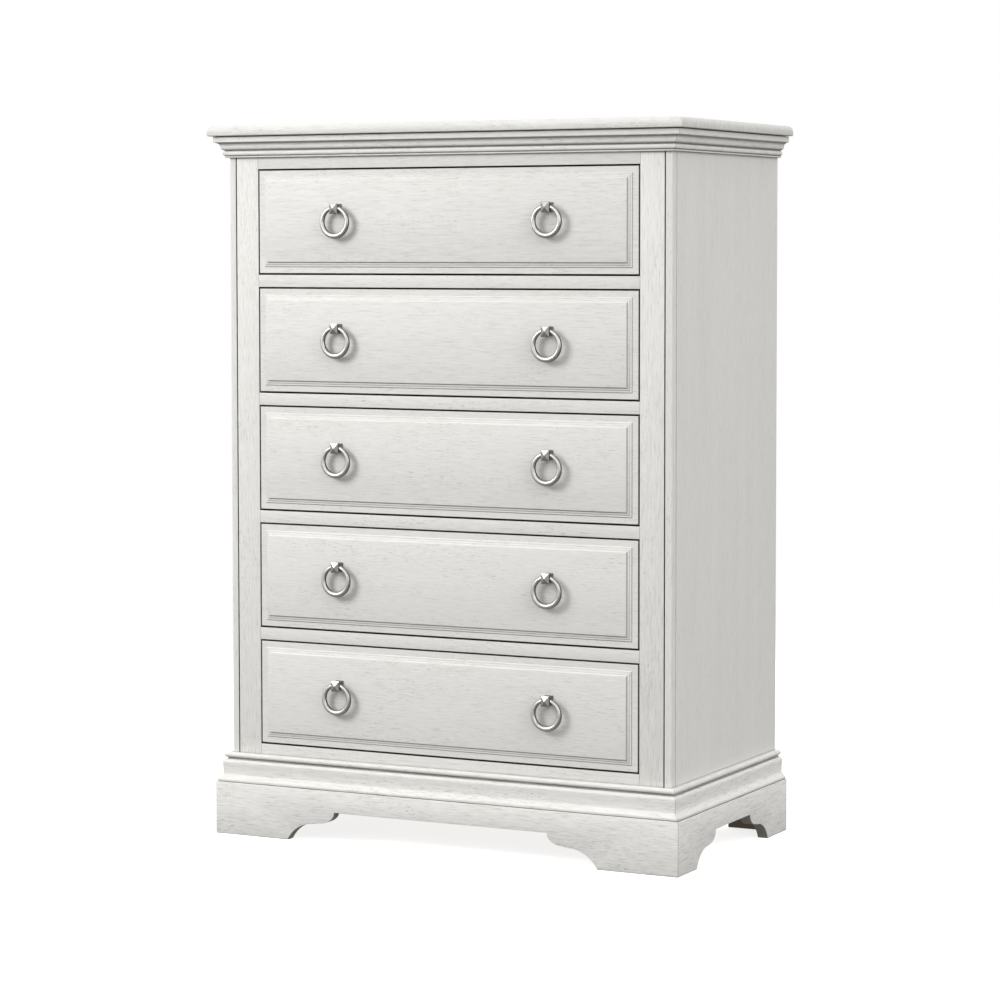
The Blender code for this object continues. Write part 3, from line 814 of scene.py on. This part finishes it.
def add_bracket_base():
    """Three mitred boards with scrolled feet."""
    outer = base_high.x
    face = base_low.y
    top = base_high.z
    left = [(-outer + FRONT_FOOT + along, up) for along, up in scroll(FRONT_SCROLL)]
    left = [(-outer - SPARE_END, 0.0)] + left
    right = [(-x, z) for x, z in reversed(left)]
    outline = left + right + [(outer + SPARE_END, top), (-outer - SPARE_END, top)]
    thick = (0.0, BOARD_THICKNESS, 0.0)
    bm = outline_solid([(x, face, z) for x, z in outline], thick)
    for hand in (-1.0, 1.0):
        slice_off(bm, (hand * (outer - MITRE_GAP), face, 0.0), (-hand, -1.0, 0.0), True)
    soften_outline(bm, lambda at: at.y < face + 1e-5, top)
    wood = whitewash("X", 15, 1.7)
    settle("base_board_front", bm, "carcass", wood, 30.0, ("bracket_base",))

    near = [(face - SPARE_END, 0.0)]
    near += [(face + SIDE_FOOT + along, up) for along, up in scroll(SIDE_SCROLL)]
    far = [(BACK - REAR_FOOT - along, up) for along, up in reversed(scroll(SIDE_SCROLL))]
    side = near + far + [(BACK, 0.0), (BACK, top), (face - SPARE_END, top)]
    for name, hand, seed in (("left", -1.0, 16), ("right", 1.0, 17)):
        points = [(hand * outer, y, z) for y, z in side]
        bm = outline_solid(points, (-hand * BOARD_THICKNESS, 0.0, 0.0))
        slice_off(bm, (hand * (outer + MITRE_GAP), face, 0.0), (-hand, -1.0, 0.0), False)
        soften_outline(bm, lambda at: abs(at.x) > outer - 1e-5, top)
        wood = whitewash("Y", seed, 1.7)
        settle(f"base_board_{name}", bm, "carcass", wood, 30.0)


def soften_outline(bm, on_face, top):
    """Ease a shaped board's edges, with a wider chamfer along its top, and darken its scroll edges
    and inner face with painted shade.
    """
    upper = []
    lower = []
    for edge in bm.edges:
        ends = [vert.co for vert in edge.verts]
        if not all(on_face(end) for end in ends):
            continue
        if abs(ends[0].z - top) < 1e-5 and abs(ends[1].z - top) < 1e-5:
            upper.append(edge)
        elif abs(ends[0].z - ends[1].z) < top * 0.9:
            lower.append(edge)
    soften(bm, upper, BOARD_CHAMFER, 2)
    lower = [edge for edge in lower if edge.is_valid]
    soften(bm, lower, SCROLL_EASE, 2)
    # Painted shade on the scroll edges and inner face.
    cut_edge_shade = bm.faces.layers.float.new("cut_edge_shade")
    for face in bm.faces:
        at = face.calc_center_median()
        inward = not any(on_face(vert.co) for vert in face.verts)
        if inward or (at.z < top - 0.01 and not all(on_face(vert.co) for vert in face.verts)):
            face[cut_edge_shade] = SCROLL_SHADE


def add_base_inside():
    """The ledgers that carry the carcass, and the brackets of the rear feet, darkened with painted
    shade.
    """
    outer = base_high.x
    face = base_low.y
    top = base_high.z
    reach = outer - BOARD_THICKNESS - HAIRLINE
    near = face + BOARD_THICKNESS + HAIRLINE
    low = top - LEDGER_THICKNESS
    high = top - LEDGER_GAP
    width = LEDGER_WIDTH - BOARD_THICKNESS / 2
    strips = (
        ("front", (-reach, near, low), (reach, face + LEDGER_WIDTH, high), "X"),
        ("back", (-reach, BACK - LEDGER_WIDTH, low), (reach, BACK - REAR_INSET, high), "X"),
    )
    for name, start, end, grain in strips:
        wood = bare_wood(grain, 61, BASE_INSIDE_UNSHADED)
        board(f"ledger_{name}", start, end, "carcass", wood, "drawer_wood", FINE_EASE)
    for name, hand in (("left", -1.0), ("right", 1.0)):
        ends = sorted((hand * reach, hand * (reach - width)))
        start = (ends[0], face + LEDGER_WIDTH + HAIRLINE, low)
        end = (ends[1], BACK - LEDGER_WIDTH - HAIRLINE, high)
        wood = bare_wood("Y", 62, BASE_INSIDE_UNSHADED)
        board(f"ledger_{name}", start, end, "carcass", wood, "drawer_wood", FINE_EASE)
        ends = sorted((hand * reach, hand * (outer - REAR_BRACKET_WIDTH)))
        start = (ends[0], BACK - REAR_BRACKET_FACE, 0.0)
        end = (ends[1], BACK - REAR_INSET, low - HAIRLINE)
        wood = bare_wood("X", 63, BASE_INSIDE_UNSHADED)
        board(f"rear_bracket_{name}", start, end, "carcass", wood, "drawer_wood", FINE_EASE)


def add_back():
    low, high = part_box("back_panel")
    made_of = plywood("Z")
    board("back_board", low, high, "carcass", made_of, "back_board", PLY_EASE, ("back_panel",))


# ---------------------------------------------------------------- drawers

FRONT_STEPS = (
    # inset from the last line, rise towards the front
    (0.0002, 0.0006),
    (0.0005, 0.0004),
    (0.0104, 0.0),
    (0.0014, 0.0013),
    (0.0028, 0.0004),
    (0.0009, 0.0008),
    (0.0029, 0.0006),
    (0.0015, 0.0016),
    (0.0008, 0.0005),
    (0.0010, 0.0003),
)


def add_drawer_front(number):
    """A board whose face is stepped inwards, line by line, up to the raised field."""
    node = f"drawer_{number}_front"
    low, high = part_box(node)
    start = FRONT + FRONT_SETBACK
    bm = block(
        (low.x + FRONT_TRIM, start, low.z + FRONT_TRIM),
        (high.x - FRONT_TRIM, high.y, high.z - FRONT_TRIM),
    )
    # Painted shade on the front's sides and back, so the gaps round the drawer look dark.
    shade_sides(bm, FRONT_END_SHADE)
    face = min(bm.faces, key=lambda each: each.calc_center_median().y)
    for inset, rise in FRONT_STEPS:
        bmesh.ops.inset_region(
            bm, faces=[face], thickness=inset, depth=rise, use_even_offset=True
        )
    wood = whitewash("X", 50 + number)
    settle(f"{node}_board", bm, f"drawer_{number}", wood, 30.0, (node,))


def add_drawer_box(number):
    """Grooved sides, a back and a bottom panel."""
    body = f"drawer_{number}"
    for name, hand in (("left", -1.0), ("right", 1.0)):
        node = f"drawer_{number}_side_{name}"
        low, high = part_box(node)
        outside = max(abs(low.x), abs(high.x))
        inside = outside - BOX_BOARD
        slot = inside + GROOVE_DEPTH
        slot_low = low.z + BOTTOM_LIFT - 0.0003
        slot_high = slot_low + BOTTOM_THICKNESS + 0.0006
        profile = [(outside, low.z + 0.001), (outside, high.z - 0.002)]
        profile += arc((outside - 0.002, high.z - 0.002), (0.002, 0.002), 0.0, 90.0, 4)[1:]
        profile += arc((inside + 0.002, high.z - 0.002), (0.002, 0.002), 90.0, 180.0, 4)
        profile += [(inside, slot_high), (slot, slot_high), (slot, slot_low)]
        profile += [(inside, slot_low), (inside, low.z), (outside - 0.001, low.z)]
        points = [(hand * x, low.y, z) for x, z in profile]
        bm = outline_solid(points, (0.0, high.y - low.y, 0.0))
        wood = bare_wood("Y", number + (10 if hand < 0 else 20))
        settle(f"{node}_board", bm, body, wood, stands_for=(node,))
    node = f"drawer_{number}_back"
    low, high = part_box(node)
    wood = bare_wood("X", number + 30)
    board(f"{node}_board", low, high, body, wood, "drawer_wood", EASE, (node,))
    node = f"drawer_{number}_bottom"
    low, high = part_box(node)
    made_of = plywood("X")
    board(f"{node}_board", low, high, body, made_of, "back_board", PLY_EASE, (node,))


# ---------------------------------------------------------------- pulls

POST_LEVELS = (
    # half width, rise from the drawer's face
    (0.0074, 0.0000),
    (0.0074, 0.0012),
    (0.0066, 0.0024),
    (0.0055, 0.0044),
    (0.0051, 0.0075),
    (0.0051, 0.0110),
    (0.0056, 0.0142),
    (0.0069, 0.0160),
    (0.0083, 0.0169),
    (0.0083, 0.0177),
)
POST_TIP = 0.0218
POST_TALLER = 1.15


def add_post(number, name):
    """A square post that flares to a pyramid head, pushed out of the drawer level by level."""
    node = f"pull_{number}_{name}_post"
    low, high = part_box(node)
    middle = (low + high) / 2
    bm = bmesh.new()
    first = POST_LEVELS[0][0]
    bmesh.ops.create_grid(bm, x_segments=1, y_segments=1, size=first)
    bmesh.ops.rotate(bm, verts=bm.verts, matrix=Matrix.Rotation(math.radians(90.0), 3, "X"))
    bmesh.ops.translate(bm, verts=bm.verts, vec=(middle.x, high.y, middle.z))
    bm.faces.ensure_lookup_table()
    face = bm.faces[0]
    before = POST_LEVELS[0]
    for half, rise in POST_LEVELS[1:]:
        face = push_out(bm, face, (0.0, before[1] - rise, 0.0))
        centre = Matrix.Translation(-face.calc_center_median())
        share = half / before[0]
        bmesh.ops.scale(bm, verts=face.verts, vec=(share, 1.0, share), space=centre)
        before = (half, rise)
    bmesh.ops.inset_region(bm, faces=[face], thickness=0.0008, depth=0.0003)
    bmesh.ops.poke(bm, faces=[face], offset=POST_TIP - before[1] - 0.0005)
    drop_walls(bm)
    stretch = Matrix.Translation((0.0, 0.0, -middle.z))
    bmesh.ops.scale(bm, verts=bm.verts, vec=(1.0, 1.0, POST_TALLER), space=stretch)
    body = f"drawer_{number}"
    settle(node + "_cast", bm, body, pewter(), 25.0, (node,), HEAD_HIGHLIGHT)


def add_ring(number, name):
    """A ring thinner at its two ends, with the pin that joins them through the post."""
    node = f"pull_{number}_{name}_ring"
    joint = next(j for j in frame["joints"] if j["child"] == node)
    pivot = Vector(joint["pos_m"])
    centre = pivot - Vector((0.0, 0.0, RING_DROP))
    overlap = math.asin(RING_END / RING_RADIUS) - math.radians(4.0)
    turn = 2.0 * (math.pi - overlap) / RING_STEPS
    bm = bmesh.new()
    bmesh.ops.create_circle(bm, cap_ends=True, segments=24, radius=RING_END_TUBE)
    bmesh.ops.rotate(bm, verts=bm.verts, matrix=Matrix.Rotation(math.radians(90.0), 3, "Y"))
    bmesh.ops.translate(bm, verts=bm.verts, vec=centre + Vector((0.0, 0.0, RING_RADIUS)))
    spin = Matrix.Rotation(overlap, 3, "Y")
    bmesh.ops.rotate(bm, verts=bm.verts, cent=centre, matrix=spin)
    bm.faces.ensure_lookup_table()
    face = bm.faces[0]
    spin = Matrix.Rotation(turn, 3, "Y")
    size = RING_END_TUBE
    for i in range(1, RING_STEPS + 1):
        pushed = bmesh.ops.extrude_face_region(bm, geom=[face])["geom"]
        face = next(item for item in pushed if isinstance(item, bmesh.types.BMFace))
        bmesh.ops.rotate(bm, verts=face.verts, cent=centre, matrix=spin)
        swell = math.sin(math.pi * i / RING_STEPS)
        wanted = RING_END_TUBE + (RING_TUBE - RING_END_TUBE) * swell
        around = Matrix.Translation(-face.calc_center_median())
        share = wanted / size
        bmesh.ops.scale(bm, verts=face.verts, vec=(share, share, share), space=around)
        size = wanted
    drop_walls(bm)
    cut_at_post(bm, pivot)
    settle(node + "_cast", bm, node, pewter(), 40.0, (node,))

    pin = bmesh.new()
    bmesh.ops.create_cone(
        pin, cap_ends=True, segments=24, radius1=PIN_RADIUS, radius2=PIN_RADIUS,
        depth=2 * RING_END,
    )
    bmesh.ops.rotate(pin, verts=pin.verts, matrix=Matrix.Rotation(math.radians(90.0), 3, "Y"))
    bmesh.ops.translate(pin, verts=pin.verts, vec=pivot)
    settle(f"pull_{number}_{name}_pin", pin, node, pewter(), 40.0)


def cut_at_post(bm, pivot):
    """Trim the ring's two ends flat beside the post, and leave the rest whole."""
    for hand in (-1.0, 1.0):
        near = []
        for face in bm.faces:
            at = face.calc_center_median()
            if at.z > pivot.z - 0.010 and (at.x - pivot.x) * hand > -0.004:
                near.append(face)
        geom = set(near)
        for face in near:
            geom.update(face.edges)
            geom.update(face.verts)
        plane = (pivot.x + hand * RING_END, pivot.y, pivot.z)
        cut = bmesh.ops.bisect_plane(
            bm,
            geom=list(geom),
            plane_co=plane,
            plane_no=(hand, 0.0, 0.0),
            clear_inner=True,
        )
        rim = [item for item in cut["geom_cut"] if isinstance(item, bmesh.types.BMEdge)]
        bmesh.ops.holes_fill(bm, edges=rim)


# ---------------------------------------------------------------- fixings


def rivet(place, axis, radius, height):
    """A low domed head that stands on a face and looks along an axis."""
    bm = bmesh.new()
    bmesh.ops.create_circle(bm, cap_ends=True, segments=20, radius=radius)
    bm.faces.ensure_lookup_table()
    face = bm.faces[0]
    for share, rise in ((1.0, 0.45), (0.78, 0.30), (0.40, 0.25)):
        face = push_out(bm, face, (0.0, 0.0, rise * height))
        around = Matrix.Translation(-face.calc_center_median())
        bmesh.ops.scale(bm, verts=face.verts, vec=(share, share, 1.0), space=around)
    drop_walls(bm)
    turn = Vector((0.0, 0.0, 1.0)).rotation_difference(Vector(axis)).to_matrix()
    bmesh.ops.rotate(bm, verts=bm.verts, matrix=turn)
    bmesh.ops.translate(bm, verts=bm.verts, vec=place)
    return bm


def gather(name, solids, body, made_of):
    """Several separate small solids in one piece."""
    whole = bmesh.new()
    for bm in solids:
        mesh = bpy.data.meshes.new(name)
        bm.to_mesh(mesh)
        bm.free()
        whole.from_mesh(mesh)
        bpy.data.meshes.remove(mesh)
    settle(name, whole, body, made_of, 35.0)


def add_pull_screws(number):
    """The screw behind each pull, on the inner face of the drawer's front."""
    _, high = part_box(f"drawer_{number}_front")
    heads = []
    for name in ("left", "right"):
        post_low, post_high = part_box(f"pull_{number}_{name}_post")
        middle = (post_low + post_high) / 2
        place = (middle.x, high.y - SEATED, middle.z)
        heads.append(rivet(place, (0.0, 1.0, 0.0), SCREW_HEAD, SCREW_RISE))
    gather(f"drawer_{number}_pull_screws", heads, f"drawer_{number}", zinc())


def add_back_pins():
    """Pins all round the edge of the back board."""
    low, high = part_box("back_panel")
    left, right = low.x + PIN_INSET, high.x - PIN_INSET
    bottom, top = low.z + PIN_INSET, high.z - PIN_INSET
    across = [left + (right - left) * i / PINS_ACROSS for i in range(PINS_ACROSS + 1)]
    up = [bottom + (top - bottom) * i / PINS_UP for i in range(1, PINS_UP)]
    spots = [(x, z) for x in across for z in (bottom, top)]
    spots += [(x, z) for z in up for x in (left, right)]
    heads = []
    for x, z in spots:
        place = (x, high.y - SEATED, z)
        heads.append(rivet(place, (0.0, 1.0, 0.0), PIN_HEAD, PIN_RISE))
    gather("back_pins", heads, "carcass", zinc())


# ---------------------------------------------------------------- stage


FLOOR_REACH = 8.0
FLOOR_DROP = 0.0002
FLOOR_FADE = (1.0, 3.2)


def add_stage():
    """A pale floor that thins out into the surroundings."""
    bm = bmesh.new()
    bmesh.ops.create_grid(bm, x_segments=1, y_segments=1, size=FLOOR_REACH)
    bmesh.ops.translate(bm, verts=bm.verts, vec=(0.0, 0.0, -FLOOR_DROP))
    mesh = bpy.data.meshes.new("floor")
    bm.to_mesh(mesh)
    bm.free()
    finish = Finish("pale_floor")
    finish.shader.inputs["Base Color"].default_value = rgba(0.93, 0.93, 0.93)
    finish.shader.inputs["Emission Color"].default_value = rgba(1.0, 1.0, 1.0)
    finish.shader.inputs["Emission Strength"].default_value = 0.80
    finish.shader.inputs["Roughness"].default_value = 0.9
    finish.shader.inputs["Specular IOR Level"].default_value = 0.0
    coordinates = finish.add("ShaderNodeTexCoord").outputs["Object"]
    reach = finish.add("ShaderNodeVectorMath", {0: coordinates}, operation="LENGTH")
    thin = finish.ramp(reach.outputs["Value"], *FLOOR_FADE)
    clear = finish.add("ShaderNodeBsdfTransparent")
    blend = finish.add("ShaderNodeMixShader", {0: thin})
    finish.tree.links.new(finish.shader.outputs[0], blend.inputs[1])
    finish.tree.links.new(clear.outputs[0], blend.inputs[2])
    finish.tree.links.new(blend.outputs[0], finish.tree.nodes["Material Output"].inputs[0])
    mesh.materials.append(finish.material)
    floor = bpy.data.objects.new("floor", mesh)
    floor.visible_diffuse = False
    floor.visible_glossy = False
    bpy.context.scene.collection.objects.link(floor)


SHEEN_GAIN = 0.7
SKY = (
    # height of the sky from, to, and the strength there
    (-0.35, 0.05, 0.22, 0.60),
    (0.0, 0.9, 0.0, 0.50),
)


LAMP_AIM = (0.0, 0.0, 0.75)
LAMPS = (
    # name, place and side in metres, power in watts, colour
    ("key", (-2.4, -3.1, 2.55), 1.5, 92.0, (1.0, 0.998, 0.992)),
    ("fill", (3.4, -1.6, 2.0), 2.4, 37.0, (1.0, 0.988, 0.97)),
)


def add_light(name, place, target, size, power, colour):
    data = bpy.data.lights.new(name, "AREA")
    data.shape = "RECTANGLE"
    data.size, data.size_y = size
    data.energy = power
    data.color = colour
    lamp = bpy.data.objects.new(name, data)
    lamp.location = place
    aim = Vector(target) - Vector(place)
    lamp.rotation_mode = "QUATERNION"
    lamp.rotation_quaternion = aim.to_track_quat("-Z", "Y")
    bpy.context.scene.collection.objects.link(lamp)


def add_lights():
    """A soft key from the upper left, a fill on the right, and a sky that is bright overhead."""
    for name, place, size, power, colour in LAMPS:
        add_light(name, place, LAMP_AIM, (size, size), power, colour)
    world = bpy.data.worlds.new("studio")
    bpy.context.scene.world = world
    world.use_nodes = True
    tree = world.node_tree
    backdrop = tree.nodes["Background"]
    backdrop.inputs["Color"].default_value = rgba(1.0, 1.0, 1.0)
    coordinates = tree.nodes.new("ShaderNodeTexCoord")
    split = tree.nodes.new("ShaderNodeSeparateXYZ")
    tree.links.new(coordinates.outputs["Generated"], split.inputs[0])
    total = tree.nodes.new("ShaderNodeMath")
    for socket, (low, high, start, end) in zip(total.inputs, SKY):
        height = tree.nodes.new("ShaderNodeMapRange")
        tree.links.new(split.outputs["Z"], height.inputs["Value"])
        height.inputs["From Min"].default_value = low
        height.inputs["From Max"].default_value = high
        height.inputs["To Min"].default_value = start
        height.inputs["To Max"].default_value = end
        tree.links.new(height.outputs[0], socket)
    path = tree.nodes.new("ShaderNodeLightPath")
    gloss = tree.nodes.new("ShaderNodeMath")
    gloss.operation = "MULTIPLY_ADD"
    tree.links.new(path.outputs["Is Glossy Ray"], gloss.inputs[0])
    gloss.inputs[1].default_value = SHEEN_GAIN
    gloss.inputs[2].default_value = 1.0
    sky = tree.nodes.new("ShaderNodeMath")
    sky.operation = "MULTIPLY"
    tree.links.new(total.outputs[0], sky.inputs[0])
    tree.links.new(gloss.outputs[0], sky.inputs[1])
    strength = tree.nodes.new("ShaderNodeMix")
    strength.inputs[3].default_value = 1.0
    tree.links.new(path.outputs["Is Camera Ray"], strength.inputs[0])
    tree.links.new(sky.outputs[0], strength.inputs[2])
    tree.links.new(strength.outputs[0], backdrop.inputs["Strength"])
    bpy.context.scene.view_settings.view_transform = "Standard"


# Camera: lens in millimetres, place before the front in metres, angles in degrees
LENS = 113.365
LENS_SHIFT = -0.055
STANCE = (2.6686, 5.0071, 1.0980)
YAW = 27.0312
PITCH = 3.5878
ROLL = -0.0544


def add_camera():
    """A long lens a little above the middle, looking at the right-hand front corner."""
    data = bpy.data.cameras.new("camera")
    data.sensor_width = 36.0
    data.lens = LENS
    data.shift_y = LENS_SHIFT
    data.clip_start = 0.1
    data.clip_end = 100.0
    camera = bpy.data.objects.new("camera", data)
    camera.location = (STANCE[0], FRONT - STANCE[1], STANCE[2])
    turn = Matrix.Rotation(math.radians(YAW), 4, "Z")
    tilt = Matrix.Rotation(math.radians(90.0 - PITCH), 4, "X")
    roll = Matrix.Rotation(math.radians(ROLL), 4, "Z")
    camera.matrix_world = Matrix.Translation(camera.location) @ turn @ tilt @ roll
    bpy.context.scene.collection.objects.link(camera)
    bpy.context.scene.camera = camera


def main():
    add_camera()
    add_lights()
    add_stage()
    add_slab()
    add_mouldings()
    add_sides()
    add_stiles()
    add_web_frames()
    add_bracket_base()
    add_base_inside()
    add_back()
    add_back_pins()
    for number in range(1, DRAWERS + 1):
        add_drawer_front(number)
        add_drawer_box(number)
        add_pull_screws(number)
        for name in ("left", "right"):
            add_post(number, name)
            add_ring(number, name)


main()
